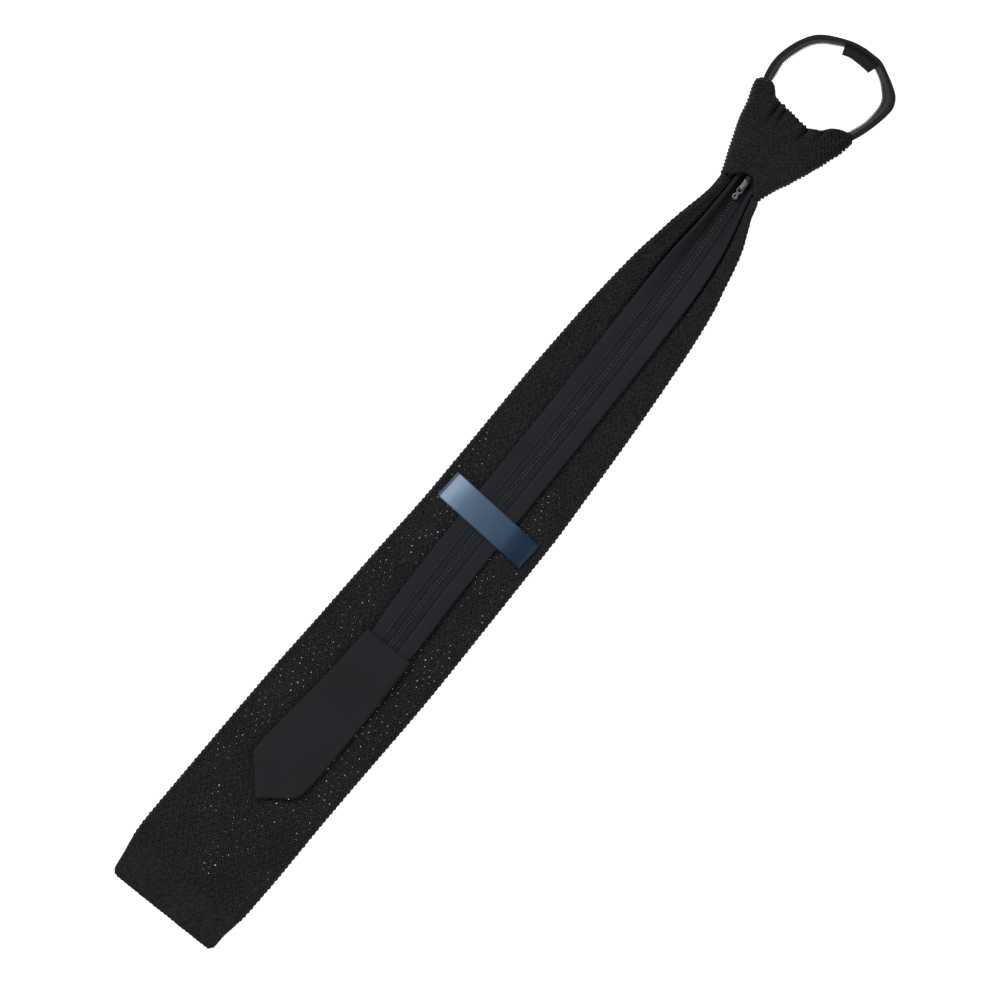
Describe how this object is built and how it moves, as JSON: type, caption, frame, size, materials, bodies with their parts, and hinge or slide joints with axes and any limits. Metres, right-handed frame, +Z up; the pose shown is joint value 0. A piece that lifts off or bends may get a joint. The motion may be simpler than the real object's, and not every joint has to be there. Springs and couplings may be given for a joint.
{
  "type": "zipper necktie",
  "caption": "Ready-tied black knit necktie lying on its front, with a zipper tail, a keeper label across it, a wrapped knot and a neck loop standing on edge.",
  "frame": {"origin": "on the surface that the tie lies on, under the middle of the knot", "axes": "+Y from the hem to the neck loop, +X to the right seen from the back, +Z up out of the tie's back"},
  "size_m": [0.0691, 0.5235, 0.021],
  "materials": {
    "knit": "matt black open knit",
    "cloth": "smooth black woven cloth with a slight sheen",
    "tape": "matt black woven zipper tape",
    "nylon": "black nylon coil",
    "satin": "navy satin with a pale sheen",
    "metal": "gunmetal plating"
  },
  "bodies": {
    "tie": {"blade": "knit", "knot": "knit", "neck_band_left": "cloth", "neck_band_right": "cloth", "zip_tape_left": "tape", "zip_tape_right": "tape", "zip_coil_left": "nylon", "zip_coil_right": "nylon", "joint_patch": "cloth", "tail_tip": "cloth", "keeper_label": "satin", "slider": "metal"},
    "pull": {"pull": "metal"}
  },
  "joints": [
    {"name": "pull_swing", "type": "hinge", "parent": "tie", "child": "pull", "pos_m": [0, -0.0204, 0.01127], "axis": [-1, 0, 0], "range_deg": [0, 120]}
  ]
}
